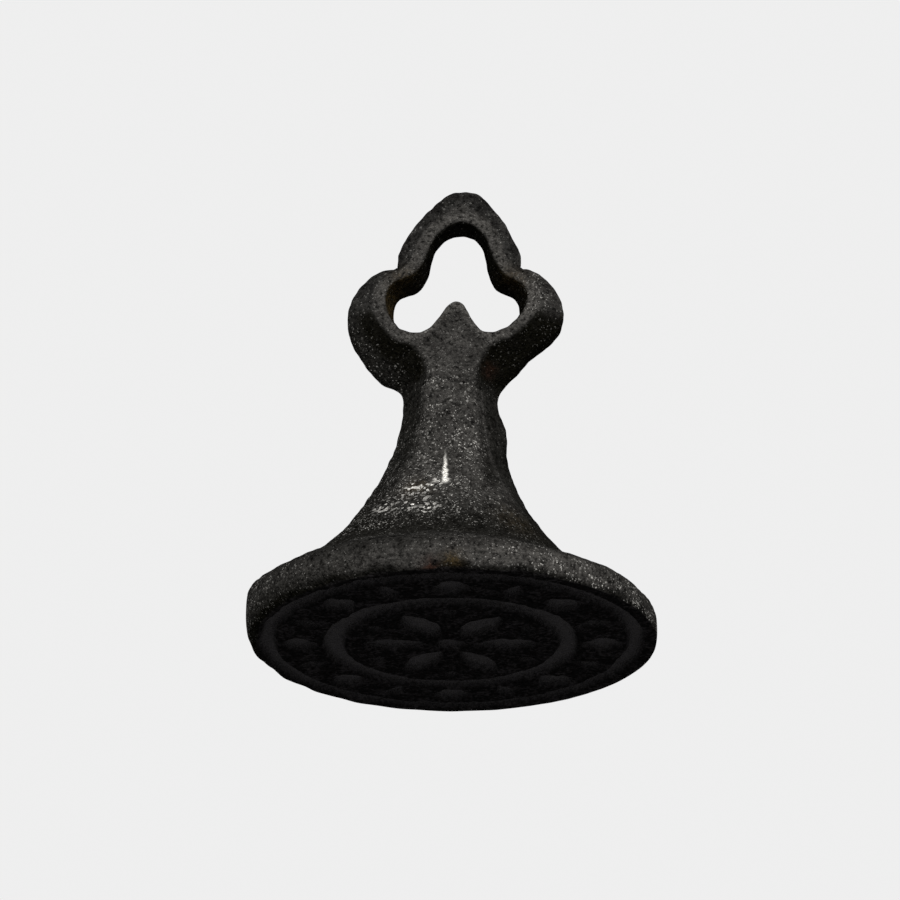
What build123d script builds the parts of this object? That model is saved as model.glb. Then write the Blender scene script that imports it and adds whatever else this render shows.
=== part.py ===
from build123d import *

import os
from math import acos, atan2, cos, hypot, pi, radians, sin, tan

# A hand-held seal: an engraved round die, a flared hexagonal stem brazed on to its back, and a
# pierced trefoil loop brazed on to the stem. Millimetres, +Z up, and the origin is the middle of
# the engraved face, on which the seal stands. The front of the loop faces -Y. The face is ground
# at a small angle to the castings, so the die's back and the handle lean to the right.

# Die plate
die_diameter = 22.0
die_thickness = 2.35
rim_height = 1.1
rim_edge = 0.75
casting_lean = 1.9

# Engraving in the die's face
engraving_depth = 0.4
rim_land = 0.15
outer_ring_width = 0.7
band_width = 2.65
inner_ring_width = 1.0
border_count = 8
border_margin = 0.38
lozenge_width = 0.95
quatrefoil_leaf_radius = 0.52
petal_count = 6
petal_width = 1.5
petal_margin = 0.95
hub_radius = 0.75
hub_margin = 0.5
seed_radius = 0.36
seed_margin = 0.75

# Stem
stem_offset = -0.5
shoulder_width = 2.3
waist_height = 14.2
waist_flats = 4.65
facet_runout = 0.18
corner_wear = 0.05
tenon_diameter = 6.0
tenon_length = 1.0

# Trefoil loop, in heights above the waist
loop_slant = 3.0
loop_height = 13.65
neck_radius = 1.4
lobe_radius = 2.95
lobe_offset = 3.15
lobe_height = 5.4
top_half_width = 3.45
top_shoulder_height = 9.3
flank_half_width = 2.8
flank_height = 10.95
tip_half_width = 1.4
tip_height = 13.1
eye_lobe_radius = 1.75
eye_lobe_offset = 2.3
eye_lobe_height = 5.5
eye_arch_half_width = 1.62
eye_arch_height = 9.3
eye_top_height = 11.0
spike_tip = 0.4
bevel_angle = 30.0
middle_thickness = 2.1
middle_height = 6.9
top_thickness = 1.5
tang_width = 2.4
tang_thickness = 1.6
tang_length = 3.0

# Filler metal between the brazed faces
braze_gap = 0.12

# Sizes that follow from those above
die_radius = die_diameter / 2
face_radius = die_radius - rim_edge
face_drop = die_radius * sin(radians(casting_lean))
foot_radius = die_radius - shoulder_width
foot_height = die_thickness + braze_gap
seat_radius = foot_radius + abs(stem_offset)
waist_half = waist_flats / 2
waist_side = waist_half / cos(radians(30))
waist_corner = waist_side - corner_wear
loop_seat = waist_height + braze_gap
outer_ring_radius = face_radius - rim_land - outer_ring_width / 2
border_radius = outer_ring_radius - (outer_ring_width + band_width) / 2
border_length = band_width - 2 * border_margin
inner_ring_radius = border_radius - (band_width + inner_ring_width) / 2
field_radius = inner_ring_radius - inner_ring_width / 2
upward = (Align.CENTER, Align.CENTER, Align.MIN)


def cast(shape):
    """Leans a casting to the right, about the middle of the ground face."""
    return Rot(0, casting_lean, 0) * shape


def handle(shape):
    """Places a piece of the upright handle on the leaning die."""
    return cast(Pos(stem_offset, 0, 0) * shape)


def slab(low, high):
    """Block wider than the whole seal between two heights."""
    return Pos(0, 0, low) * Box(2 * die_diameter, 2 * die_diameter, high - low, align=upward)


def round_ring(middle_radius, width):
    """Ring of rectangular section that reaches from the die's face up into it."""
    outer = Cylinder(middle_radius + width / 2, engraving_depth, align=upward)
    inner = Cylinder(middle_radius - width / 2, engraving_depth, align=upward)
    return outer - inner


def petal_outline():
    """Pointed leaf along +X, bounded by two equal arcs."""
    start = hub_radius + hub_margin
    end = field_radius - petal_margin
    middle = (start + end) / 2
    lower = ThreePointArc((start, 0), (middle, -petal_width / 2), (end, 0))
    upper = ThreePointArc((end, 0), (middle, petal_width / 2), (start, 0))
    return make_face([lower, upper])


def quatrefoil_outline():
    """Four round leaves about a middle that joins them."""
    leaf_offset = border_length / 2 - quatrefoil_leaf_radius
    leaves = [place * Circle(quatrefoil_leaf_radius) for place in PolarLocations(leaf_offset, 4)]
    return Circle(leaf_offset) + leaves


def lozenge_outline():
    """Rhombus that is long in the radial direction."""
    half_length = border_length / 2
    half_width = lozenge_width / 2
    points = [(half_length, 0), (0, half_width), (-half_length, 0), (0, -half_width)]
    return make_face(Polyline(points, close=True))


def engraving():
    """Bodies of everything cut into the die's face: two rings, a border and a rosette."""
    marks = [Circle(hub_radius)]
    for turn in range(petal_count):
        angle = turn * 360 / petal_count
        seed_place = Pos(field_radius - seed_margin - seed_radius, 0)
        marks.append(Rot(0, 0, angle) * petal_outline())
        marks.append(Rot(0, 0, angle + 180 / petal_count) * seed_place * Circle(seed_radius))
    for turn in range(border_count):
        angle = turn * 360 / border_count
        place = Pos(border_radius, 0)
        marks.append(Rot(0, 0, angle) * place * quatrefoil_outline())
        marks.append(Rot(0, 0, angle + 180 / border_count) * place * lozenge_outline())
    inner_ring = round_ring(inner_ring_radius, inner_ring_width)
    outer_ring = round_ring(outer_ring_radius, outer_ring_width)
    cuts = [extrude(mark, engraving_depth, dir=(0, 0, 1)) for mark in marks]
    return [inner_ring, outer_ring] + cuts


def tenon(extra, top):
    """Round tenon under the stem's foot, larger by the given amount at its side and end."""
    bottom = die_thickness - tenon_length - extra
    radius = tenon_diameter / 2 + extra
    return handle(Pos(0, 0, bottom) * Cylinder(radius, top - bottom, align=upward))


def tang(extra, top):
    """Flat tang under the loop, larger by the given amount at its sides and end."""
    bottom = waist_height - tang_length - extra
    width = tang_width + 2 * extra
    thickness = tang_thickness + 2 * extra
    return handle(Pos(0, 0, bottom) * Box(width, thickness, top - bottom, align=upward))


def die_plate():
    """Cushion-edged disc with a socket in its flat back, ground flat below and engraved there."""
    edge_rise = rim_height + face_drop
    shoulder_run = die_radius - seat_radius
    shoulder_rise = die_thickness - rim_height
    outline = [
        Line((0, -face_drop), (face_radius, -face_drop)),
        EllipticalCenterArc((face_radius, rim_height), rim_edge, edge_rise, 270, arc_size=90),
        EllipticalCenterArc((seat_radius, rim_height), shoulder_run, shoulder_rise, 0, arc_size=90),
        Line((seat_radius, die_thickness), (0, die_thickness)),
        Line((0, die_thickness), (0, -face_drop)),
    ]
    disc = cast(revolve(Plane.XZ * make_face(outline), Axis.Z)) & slab(0, die_diameter)
    return disc - engraving() - tenon(braze_gap, foot_height)


def flare(half_at_waist, half_at_foot):
    """Ends and control point of a parabola that is upright at the waist and spreads to the foot."""
    control_height = (waist_height + die_thickness) / 2
    top = (half_at_waist, waist_height)
    return [top, (half_at_waist, control_height), (half_at_foot, die_thickness)]


def stem_blank():
    """Round flare through a hexagon's worn corners, with six hollow facets that run out at the foot."""
    corner = flare(waist_corner, foot_radius)
    round_outline = [
        Bezier(*corner),
        Line(corner[-1], (0, die_thickness)),
        Line((0, die_thickness), (0, waist_height)),
        Line((0, waist_height), corner[0]),
    ]
    blank = revolve(Plane.XZ * make_face(round_outline), Axis.Z)
    right = flare(waist_half, foot_radius + facet_runout)
    left = [(-x, z) for x, z in reversed(right)]
    facet_outline = [Bezier(*right), Line(right[-1], left[0]), Bezier(*left), Line(left[-1], right[0])]
    facet_pair = extrude(Plane.YZ * make_face(facet_outline), die_diameter, both=True)
    for turn in range(3):
        blank = blank & (Rot(0, 0, 60 * turn) * facet_pair)
    return blank


def stem():
    """Flared hexagonal shank with a tenon under its flat foot and a mortise in its top."""
    shank = handle(stem_blank() & slab(foot_height, waist_height))
    return shank + tenon(0, foot_height) - tang(braze_gap, loop_seat)


def foot_braze():
    """Film of filler under the stem's foot and the sleeve of filler in the socket round its tenon."""
    film = handle(stem_blank() & slab(die_thickness, foot_height))
    return film + tenon(braze_gap, die_thickness) - tenon(0, foot_height)


def inner_tangent(centre_a, radius_a, centre_b, radius_b):
    """Straight line that leaves circle A on its upper left and touches circle B on its lower right.

    Gives its two ends and the direction from A's centre to the first of them, in radians.
    """
    across = centre_b[0] - centre_a[0]
    along = centre_b[1] - centre_a[1]
    heading = atan2(along, across) + acos((radius_a + radius_b) / hypot(across, along))
    start = (centre_a[0] + radius_a * cos(heading), centre_a[1] + radius_a * sin(heading))
    end = (centre_b[0] - radius_b * cos(heading), centre_b[1] - radius_b * sin(heading))
    return start, end, heading


def slanted(x, z):
    """Moves a point of the upright loop to the right, in proportion to its height above the waist."""
    return (x + z * tan(radians(loop_slant)), z)


def both_sides(points):
    """The same points on the slanted loop's right side and on its left side."""
    return [[slanted(x, z) for x, z in points], [slanted(-x, z) for x, z in points]]


def loop_root():
    """Outline of the loop's root: upright below the waist, hollow at the neck, straight to the lobes."""
    low = (waist_side, -waist_flats)
    waist = (waist_side, 0)
    neck = (waist_side + neck_radius, 0)
    inside = (lobe_offset, lobe_height + lobe_radius / 2)
    left_inside = slanted(-inside[0], inside[1])
    sides = [Line((-low[0], low[1]), low), Line(left_inside, slanted(*inside))]
    for flip in (1, -1):
        lobe_centre = slanted(flip * lobe_offset, lobe_height)
        lobe = (flip * lobe_centre[0], lobe_centre[1])
        start, end, heading = inner_tangent(neck, neck_radius, lobe, lobe_radius)
        bend = (pi + heading) / 2
        bend_point = (neck[0] + neck_radius * cos(bend), neck[1] + neck_radius * sin(bend))
        side = [(flip * x, z) for x, z in (low, waist, bend_point, start, end)]
        sides += [Line(*side[:2]), ThreePointArc(*side[1:4]), Line(*side[3:])]
        sides.append(Line(side[-1], slanted(flip * inside[0], inside[1])))
    return make_face(sides)


def loop_top():
    """Outline of the pointed top lobe, from inside the side lobes up to its rounded tip."""
    foot = (top_half_width, lobe_height)
    shoulder = (top_half_width, top_shoulder_height)
    flank = (flank_half_width, flank_height)
    tip = (tip_half_width, tip_height)
    right, left = both_sides([foot, shoulder, flank, tip])
    sides = [Line(left[0], right[0]), ThreePointArc(right[-1], slanted(0, loop_height), left[-1])]
    for side in (right, left):
        sides += [Line(*side[:2]), ThreePointArc(*side[1:])]
    return make_face(sides)


def eye_outline():
    """Outline of the trefoil eye: two round lobes and an arch, with a spike left between the lobes."""
    spike = (eye_lobe_offset - eye_lobe_radius, eye_lobe_height)
    centre = (eye_lobe_offset, eye_lobe_height)
    spring = (eye_arch_half_width, eye_arch_height)
    right, left = both_sides([spike, centre, spring])
    sides = [
        ThreePointArc(right[0], slanted(0, eye_lobe_height + spike_tip), left[0]),
        ThreePointArc(right[-1], slanted(0, eye_top_height), left[-1]),
    ]
    for start, middle, end in (right, left):
        cusp = (middle[0], middle[1] + eye_lobe_radius)
        sides.append(Polyline([start, middle, cusp, end]))
    return make_face(sides) + [Pos(*side[1]) * Circle(eye_lobe_radius) for side in (right, left)]


def loop_thickness():
    """Side outline of the loop: as thick as the stem at the waist and hollow in to its thin top."""
    low = (waist_half, -waist_flats)
    root = (waist_half, 0)
    middle = (middle_thickness / 2, middle_height)
    top = (top_thickness / 2, loop_height)
    above = (top_thickness / 2, loop_height + top_thickness)
    sides = [Line((-low[0], low[1]), low), Line((-above[0], above[1]), above)]
    for flip in (1, -1):
        side = [(flip * y, z) for y, z in (low, root, middle, top, above)]
        sides += [Line(*side[:2]), ThreePointArc(*side[1:4]), Line(*side[3:])]
    return make_face(sides)


def loop_blank():
    """Trefoil with bevelled outer edges that meet in a ridge all round, pierced by its eye."""
    inset = waist_half * tan(radians(bevel_angle))
    half = extrude(loop_root(), waist_half, taper=bevel_angle)
    half = half + extrude(loop_top(), waist_half, taper=bevel_angle)
    for flip in (1, -1):
        place = Pos(*slanted(flip * lobe_offset, lobe_height))
        half = half + place * Cone(lobe_radius, lobe_radius - inset, waist_half, align=upward)
    half = Plane.XZ * half
    body = half + mirror(half, Plane.XZ)
    body = body & extrude(Plane.YZ * loop_thickness(), die_diameter, both=True)
    body = body - extrude(Plane.XZ * eye_outline(), die_diameter, both=True)
    waist = handle(Pos(0, 0, waist_height)).position
    return Pos(waist.X, waist.Y, waist.Z) * body


def trefoil_loop():
    """Pierced trefoil with a flat tang below the face that is brazed to the stem."""
    above = handle(slab(loop_seat, loop_seat + 2 * loop_height))
    return (loop_blank() & above) + tang(0, loop_seat)


def loop_braze():
    """Film of filler under the loop and the sleeve of filler in the mortise round its tang."""
    film = loop_blank() & handle(slab(waist_height, loop_seat))
    return film + tang(braze_gap, waist_height) - tang(0, loop_seat)


if __name__ == "__main__":
    os.makedirs("parts", exist_ok=True)
    for piece in (die_plate, stem, foot_braze, trefoil_loop, loop_braze):
        export_step(piece(), os.path.join("parts", piece.__name__ + ".step"))
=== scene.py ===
"""Hand-held bronze seal: an engraved round die, a flared hexagonal stem and a pierced trefoil loop.

Every surface is worked out in millimetres with numpy, in the frame of the solids: the origin is the middle
of the engraved face, +Z is up and the loop's front faces -Y. The finish is one dark, granular patina, with
dirt and painted shade in the sheltered and shaded places and wear on the edges, which the surfaces carry
as point attributes.
"""

import logging
from dataclasses import dataclass
from enum import Enum
from math import cos, radians, sin, tan

import bmesh
import bpy
import numpy as np
import numpy.typing as npt
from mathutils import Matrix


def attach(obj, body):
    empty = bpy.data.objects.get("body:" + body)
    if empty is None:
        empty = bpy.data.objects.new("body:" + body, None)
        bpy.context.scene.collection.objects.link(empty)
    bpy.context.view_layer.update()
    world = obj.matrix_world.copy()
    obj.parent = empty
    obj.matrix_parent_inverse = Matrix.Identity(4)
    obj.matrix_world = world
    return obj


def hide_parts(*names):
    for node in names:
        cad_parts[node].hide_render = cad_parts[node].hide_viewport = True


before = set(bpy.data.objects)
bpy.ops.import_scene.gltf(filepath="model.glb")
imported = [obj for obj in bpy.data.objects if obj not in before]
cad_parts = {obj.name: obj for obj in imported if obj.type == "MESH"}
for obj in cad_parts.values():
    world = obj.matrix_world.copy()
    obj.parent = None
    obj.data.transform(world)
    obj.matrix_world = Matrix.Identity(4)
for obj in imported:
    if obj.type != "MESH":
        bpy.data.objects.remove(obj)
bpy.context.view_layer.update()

Array = npt.NDArray[np.float64]
Point = tuple[float, float, float]
Spot = tuple[float, float]
Span = tuple[float, float]
MM = 0.001
BODY = "root"
ARC_POINTS = 200
# Least distance and squared length that anything is divided by
LEAST_REACH = 0.1
LEAST_SQUARE = 1e-12
log = logging.getLogger("seal")


class Trait(Enum):
    """Point attributes that the patina reads, each from 0 to 1."""

    # Dirt in sheltered places, and painted shade in creases, under the arms and on shaded sides.
    GRIME_AND_SHADE = "grime_and_shade"
    WEAR = "wear"
    GROUND = "ground"
    RESIDUE = "residue"
    GLINT = "glint"
    FLECK = "fleck"
    # Bare metal of the stem's streak, which is a painted highlight.
    PAINTED_HIGHLIGHT = "bare"
    RUST = "rust"
    OCHRE = "ochre"


class Node(Enum):
    """Solids that the pieces of this scene stand for."""

    DIE = "die_plate"
    STEM = "stem"
    LOOP = "trefoil_loop"
    FOOT_BRAZE = "foot_braze"
    LOOP_BRAZE = "loop_braze"


Traits = dict[Trait, Array]
Sockets = dict[Trait, bpy.types.NodeSocket]


def linear_colour(code: str) -> tuple[float, float, float, float]:
    """Turns an sRGB hex colour into linear light.

    Args:
        code: six hex digits after a hash sign.

    Returns:
        Red, green, blue and an alpha of 1.
    """
    channels = np.array([int(code[k:k + 2], 16) for k in (1, 3, 5)]) / 255
    light = np.where(channels <= 0.04045, channels / 12.92, ((channels + 0.055) / 1.055) ** 2.4)
    return (float(light[0]), float(light[1]), float(light[2]), 1.0)


def per_metre(size_mm: float) -> float:
    """Texture scale that gives a pattern of the stated size."""
    return 1.0 / (size_mm * MM)


def rise(low: float, high: float, value: Array) -> Array:
    """Smooth step from 0 at the low value to 1 at the high one: 3q^2 - 2q^3 of the share q of the way."""
    share = np.clip((value - low) / (high - low), 0.0, 1.0)
    return share * share * (3.0 - 2.0 * share)


def soft_min(one: Array, other: Array | float, radius: float) -> Array:
    """Lesser of two heights, with the corner between them rounded over the given difference."""
    share = np.clip(0.5 + 0.5 * (other - one) / radius, 0.0, 1.0)
    return other + (one - other) * share - radius * share * (1.0 - share)


def soft_max(one: Array, other: Array, radius: float) -> Array:
    """Greater of two heights, with the hollow between them filled over the given difference."""
    return -soft_min(-one, -other, radius)


def rounded(surface: Array, radius: Array | float, to_edge: Array) -> Array:
    """Surface that drops along a quarter circle within one radius of its edge."""
    short = np.clip(radius - to_edge, 0.0, None)
    return surface - radius + np.sqrt(np.maximum(radius ** 2 - short ** 2, 0.0))


def hill(points: Array, centre: Point, spread: float) -> Array:
    """Bell of height 1 about a point: e to the minus squared distance over twice the squared spread."""
    return np.exp(-((points - np.array(centre)) ** 2).sum(axis=-1) / (2.0 * spread * spread))


def full_turn(columns: int) -> Array:
    """Evenly spaced angles of a full turn in radians, as one row."""
    return np.linspace(0.0, 2.0 * np.pi, columns, endpoint=False)[None, :]


def polar(radius: Array | float, angle: Array, height: Array | float) -> Array:
    """Points from their distance and angle about the Z axis and their height."""
    grids = np.broadcast_arrays(radius * np.cos(angle), radius * np.sin(angle), height)
    return np.stack(grids, axis=-1)


def arc(centre: Spot, size: float, start: float, end: float) -> Array:
    """Circular arc in the plane.

    Args:
        centre: middle of the circle.
        size: its radius.
        start: angle of the first point in degrees.
        end: angle of the last point in degrees.

    Returns:
        Points of shape (ARC_POINTS, 2).
    """
    turn = np.radians(np.linspace(start, end, ARC_POINTS))
    return np.stack([centre[0] + size * np.cos(turn), centre[1] + size * np.sin(turn)], axis=-1)


def arc_through(first: Spot, middle: Spot, last: Spot) -> Array:
    """Circular arc from one point through a second to a third.

    The centre is where the perpendiculars at the middles of the two chords meet.

    Args:
        first: start of the arc.
        middle: any point on the way.
        last: end of the arc.

    Returns:
        Points of shape (ARC_POINTS, 2).
    """
    a, b, c = np.array(first), np.array(middle), np.array(last)
    chords = np.stack([b - a, c - b])
    centre = np.linalg.solve(chords, np.array([(b @ b - a @ a) / 2.0, (c @ c - b @ b) / 2.0]))
    angles = np.unwrap([np.arctan2(*(p - centre)[::-1]) for p in (a, b, c)])
    size = float(np.hypot(*(a - centre)))
    return arc((centre[0], centre[1]), size, float(np.degrees(angles[0])), float(np.degrees(angles[2])))


def spaced(curve: Array, count: int) -> Array:
    """Places points evenly along a polyline.

    Args:
        curve: polyline of shape (n, 2).
        count: how many steps to take; the end point is left out.

    Returns:
        Points of shape (count, 2).
    """
    steps = np.hypot(*np.diff(curve, axis=0).T)
    along = np.concatenate([[0.0], np.cumsum(steps)])
    places = np.linspace(0.0, along[-1], count, endpoint=False)
    return np.stack([np.interp(places, along, curve[:, k]) for k in (0, 1)], axis=-1)


def worn(curve: Array, spread: float) -> Array:
    """Rounds a closed curve by a running bell-shaped mean.

    Args:
        curve: closed curve of shape (n, 2).
        spread: width of the bell, as a number of the curve's points.

    Returns:
        The rounded curve, in the same shape.
    """
    count = len(curve)
    steps = np.minimum(np.arange(count), count - np.arange(count))
    weight = np.exp(-0.5 * (steps / spread) ** 2)
    response = np.fft.fft(weight / weight.sum())
    return np.stack([np.fft.ifft(np.fft.fft(curve[:, k]) * response).real for k in (0, 1)], axis=-1)


def distance_to(curve: Array, x: Array, z: Array) -> Array:
    """Distance of each point to a polyline, worked out one grid row at a time.

    Args:
        curve: polyline of shape (n, 2).
        x: first coordinates on a grid.
        z: second coordinates on the same grid.

    Returns:
        Distances on the grid.
    """
    start = curve[:-1]
    run = np.diff(curve, axis=0)
    length = np.maximum((run ** 2).sum(axis=-1), LEAST_SQUARE)
    rows = []
    for row_x, row_z in zip(x, z):
        away = np.stack([row_x, row_z], axis=-1)[:, None, :] - start
        share = np.clip((away * run).sum(axis=-1) / length, 0.0, 1.0)
        gap = away - share[..., None] * run
        rows.append(np.sqrt((gap ** 2).sum(axis=-1)).min(axis=-1))
    return np.stack(rows)


def ring_mesh(name: str, points: Array) -> bpy.types.Mesh:
    """Mesh of a grid: quads between neighbouring rows and columns, closed along the columns.

    Args:
        name: name of the mesh.
        points: positions in millimetres, of shape (rows, columns, 3).

    Returns:
        The mesh, in metres.
    """
    rows, columns = points.shape[:2]
    index = np.arange(rows * columns).reshape(rows, columns)
    index = np.concatenate([index, index[:, :1]], axis=1)
    quads = np.stack([index[:-1, :-1], index[:-1, 1:], index[1:, 1:], index[1:, :-1]], axis=-1)
    mesh = bpy.data.meshes.new(name)
    mesh.from_pydata(points.reshape(-1, 3) * MM, [], quads.reshape(-1, 4))
    return mesh


def add_object(name: str, data: bpy.types.ID) -> bpy.types.Object:
    """Adds an object to the scene, at the origin.

    Args:
        name: name of the object.
        data: its mesh, lamp or camera.

    Returns:
        The new object.
    """
    made = bpy.data.objects.new(name, data)
    bpy.context.scene.collection.objects.link(made)
    return made


@dataclass(frozen=True)
class Unevenness:
    """Swells of a hand-finished casting: a sum of plane waves in fixed scattered directions."""

    wavelength: float
    height: float
    seed: int
    waves: int = 24

    def shift(self, points: Array) -> Array:
        """Moves that the swells give to each point.

        Args:
            points: positions in millimetres, in any grid shape.

        Returns:
            Shifts in millimetres, in the same shape.
        """
        scatter = np.random.default_rng(self.seed)
        heading = scatter.normal(size=(3, self.waves))
        heading = heading / np.linalg.norm(heading, axis=0)
        phase = scatter.uniform(0.0, 2.0 * np.pi, self.waves)
        sway = scatter.normal(size=(self.waves, 3)) / np.sqrt(self.waves)
        angle = points @ (heading * (2.0 * np.pi / self.wavelength)) + phase
        return self.height * (np.cos(angle) @ sway)


@dataclass(frozen=True)
class Lump:
    """One place where the hand-made casting is fuller or leaner: a bell-shaped push about a point."""

    centre: Point
    spread: float
    push: Point

    def shift(self, points: Array) -> Array:
        """Moves that the lump gives to each point."""
        return hill(points, self.centre, self.spread)[..., None] * np.array(self.push)


@dataclass(frozen=True)
class Patch:
    """One stained or rubbed place with a soft edge: a bell of the given strength about a point."""

    centre: Point
    spread: float
    strength: float = 1.0

    def on(self, points: Array) -> Array:
        """Strength of the patch at each point."""
        return self.strength * hill(points, self.centre, self.spread)


@dataclass(frozen=True)
class Casting:
    """What the castings share: their lean over the ground face and the unevenness of their skin."""

    lean: float = 1.9
    stem_offset: float = -0.5
    fade_height: float = 0.7
    lumps: tuple[Lump, ...] = (
        Lump((-4.6, 0.0, 15.6), 1.2, (-0.40, 0.0, -0.62)),
        Lump((4.9, 0.0, 17.0), 1.2, (-0.25, 0.0, 0.25)),
        Lump((2.9, 0.0, 12.3), 0.9, (0.38, 0.0, 0.0)),
        Lump((5.2, 0.0, 6.6), 1.3, (-0.28, 0.0, 0.0)),
        Lump((-9.6, -1.5, 2.2), 2.2, (-0.15, 0.0, 0.45)),
        Lump((4.3, 0.0, 22.4), 0.7, (0.05, 0.0, 0.22)),
        Lump((-3.9, 0.0, 22.4), 0.7, (-0.05, 0.0, 0.14)),
    )
    swells: tuple[Unevenness, ...] = (
        Unevenness(5.5, 0.055, 3),
        Unevenness(1.7, 0.024, 8),
        Unevenness(0.6, 0.014, 21),
    )

    def leaned(self, points: Array) -> Array:
        """Turns points about the Y axis by the lean, so that what is high moves to the right.

        Args:
            points: positions in millimetres, in any grid shape.

        Returns:
            The turned positions, in the same shape.
        """
        turn = radians(self.lean)
        x = points[..., 0] * cos(turn) + points[..., 2] * sin(turn)
        z = points[..., 2] * cos(turn) - points[..., 0] * sin(turn)
        return np.stack([x, points[..., 1], z], axis=-1)

    def on_die(self, points: Array) -> Array:
        """Places points of the upright handle on the leaning die."""
        return self.leaned(points + np.array([self.stem_offset, 0.0, 0.0]))

    def uneven(self, points: Array) -> Array:
        """Adds the lumps and swells, which fade out down to the ground face."""
        shift = sum(form.shift(points) for form in self.lumps + self.swells)
        return points + shift * rise(0.0, self.fade_height, points[..., 2])[..., None]


@dataclass
class Piece:
    """One surface as a closed grid of points, with its traits and the solid it stands for."""

    node: Node
    points: Array
    traits: Traits
    slot: str
    crease: float = 70.0
    merge_distance: float = 0.0004

    def build(self, material: bpy.types.Material) -> bpy.types.Object:
        """Makes the mesh object with its attributes and finish.

        Args:
            material: finish of the whole piece.

        Returns:
            The finished object, riding on the body.
        """
        mesh = ring_mesh(self.node.value, self.points)
        for trait, values in self.traits.items():
            layer = mesh.attributes.new(trait.value, "FLOAT", "POINT")
            layer.data.foreach_set("value", np.ascontiguousarray(values, dtype=np.float32).ravel())
        self.close(mesh)
        mesh.materials.append(material)
        mesh.shade_smooth()
        mesh.set_sharp_from_angle(angle=radians(self.crease))
        made = add_object(self.node.value + "_skin", mesh)
        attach(made, BODY)
        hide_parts(self.node.value)
        return made

    def close(self, mesh: bpy.types.Mesh) -> None:
        """Merges the doubled points at poles and joins, and turns every face outwards.

        Args:
            mesh: mesh that is changed in place.
        """
        work = bmesh.new()
        work.from_mesh(mesh)
        bmesh.ops.remove_doubles(work, verts=work.verts, dist=self.merge_distance * MM)
        bmesh.ops.recalc_face_normals(work, faces=work.faces)
        work.to_mesh(mesh)
        work.free()


@dataclass(frozen=True)
class Engraving:
    """Marks cut into the face: two rings, a border of quatrefoils and lozenges, and a rosette of petals."""

    depth: float = 0.4
    edge: float = 0.13
    outer_ring_radius: float = 9.75
    outer_ring_width: float = 0.7
    band_width: float = 2.65
    inner_ring_width: float = 1.0
    border_count: int = 8
    border_margin: float = 0.38
    lozenge_width: float = 0.95
    leaf_radius: float = 0.52
    petal_count: int = 6
    petal_width: float = 1.5
    petal_margin: float = 0.95
    hub_radius: float = 0.75
    hub_margin: float = 0.5
    seed_radius: float = 0.36
    seed_margin: float = 0.75

    @property
    def border_radius(self) -> float:
        """Radius of the middle of the border band."""
        return self.outer_ring_radius - (self.outer_ring_width + self.band_width) / 2.0

    @property
    def inner_ring_radius(self) -> float:
        """Radius of the middle of the inner ring."""
        return self.border_radius - (self.band_width + self.inner_ring_width) / 2.0

    @staticmethod
    def folded(radius: Array, angle: Array, count: int, offset: float) -> tuple[Array, Array]:
        """Folds the plane into one of a number of equal sectors.

        Args:
            radius: distances from the middle.
            angle: angles in radians.
            count: number of sectors.
            offset: share of a sector that the pattern is turned by.

        Returns:
            Coordinates along and across the sector's middle line.
        """
        sector = 2.0 * np.pi / count
        local = np.mod(angle - (offset - 0.5) * sector, sector) - sector / 2.0
        return radius * np.cos(local), radius * np.sin(local)

    def rosette(self, radius: Array, angle: Array) -> Array:
        """How far each point lies inside the hub, a petal or a seed; a petal is where two discs overlap.

        Args:
            radius: distances from the middle.
            angle: angles in radians.

        Returns:
            Distances in millimetres, below 0 outside the marks.
        """
        field_radius = self.inner_ring_radius - self.inner_ring_width / 2.0
        start = self.hub_radius + self.hub_margin
        end = field_radius - self.petal_margin
        bow = ((end - start) ** 2 + self.petal_width ** 2) / (4.0 * self.petal_width)
        x, y = self.folded(radius, angle, self.petal_count, 0.0)
        petal = bow - np.hypot(x - (start + end) / 2.0, np.abs(y) + bow - self.petal_width / 2.0)
        x, y = self.folded(radius, angle, self.petal_count, 0.5)
        seed = self.seed_radius - np.hypot(x - field_radius + self.seed_margin + self.seed_radius, y)
        return np.maximum.reduce([self.hub_radius - radius, petal, seed])

    def border(self, radius: Array, angle: Array) -> Array:
        """How far each point lies inside a quatrefoil or one of the lozenges between them.

        Args:
            radius: distances from the middle.
            angle: angles in radians.

        Returns:
            Distances in millimetres, below 0 outside the marks.
        """
        half_length = self.band_width / 2.0 - self.border_margin
        reach = half_length - self.leaf_radius
        x, y = self.folded(radius, angle, self.border_count, 0.0)
        x, y = np.abs(x - self.border_radius), np.abs(y)
        leaves = self.leaf_radius - np.minimum(np.hypot(x - reach, y), np.hypot(x, y - reach))
        quatrefoil = np.maximum(leaves, reach - np.hypot(x, y))
        x, y = self.folded(radius, angle, self.border_count, 0.5)
        half_width = self.lozenge_width / 2.0
        slant = 1.0 - np.abs(x - self.border_radius) / half_length - np.abs(y) / half_width
        lozenge = slant * half_length * half_width / np.hypot(half_length, half_width)
        return np.maximum(quatrefoil, lozenge)

    def cut(self, x: Array, y: Array) -> Array:
        """Share of the full depth at each point of the face, from 0 on the ground to 1 in the marks.

        Args:
            x: first coordinates on the face, in millimetres.
            y: second coordinates.

        Returns:
            Shares, which rise over the width of a mark's worn edge.
        """
        radius = np.hypot(x, y)
        angle = np.arctan2(y, x)
        outer = self.outer_ring_width / 2.0 - np.abs(radius - self.outer_ring_radius)
        inner = self.inner_ring_width / 2.0 - np.abs(radius - self.inner_ring_radius)
        inside = np.maximum.reduce([outer, inner, self.rosette(radius, angle), self.border(radius, angle)])
        return rise(-self.edge, self.edge, inside)


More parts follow.
